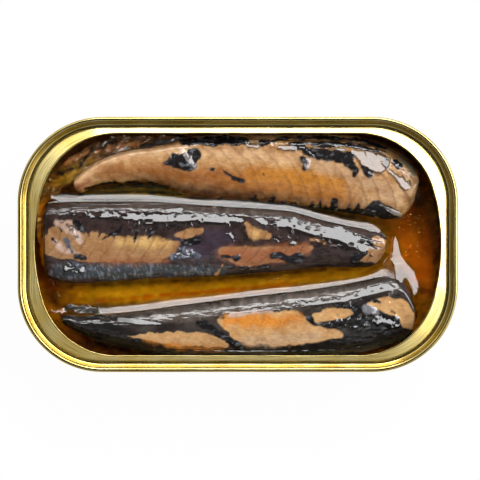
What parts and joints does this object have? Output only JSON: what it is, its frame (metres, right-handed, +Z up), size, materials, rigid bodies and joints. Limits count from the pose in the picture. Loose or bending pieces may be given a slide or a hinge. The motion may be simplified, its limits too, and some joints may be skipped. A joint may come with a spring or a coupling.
{
  "type": "opened tin of mackerel fillets in oil",
  "caption": "Oblong fish tin, opened, with mackerel fillets lying side by side in amber oil below the rolled rim and the ledge left by the lid.",
  "frame": {"origin": "middle of the underside, on the plane that the tin stands on", "axes": "+X along the tin, +Y across it towards the back fillet, +Z up"},
  "size_m": [0.1046, 0.0606, 0.024],
  "materials": {
    "tin_metal": "gold lacquer over drawn aluminium",
    "lid_metal": "gold lacquer over rolled aluminium, grain along the ring",
    "oil": "clear amber vegetable oil",
    "mackerel": "wet cooked fish, part bare meat and part dark silvery skin"
  },
  "bodies": {
    "root": {"tin_body": "tin_metal", "lid_ring": "lid_metal", "oil": "oil", "fillet_back": "mackerel", "fillet_middle": "mackerel", "fillet_front": "mackerel"}
  },
  "joints": []
}
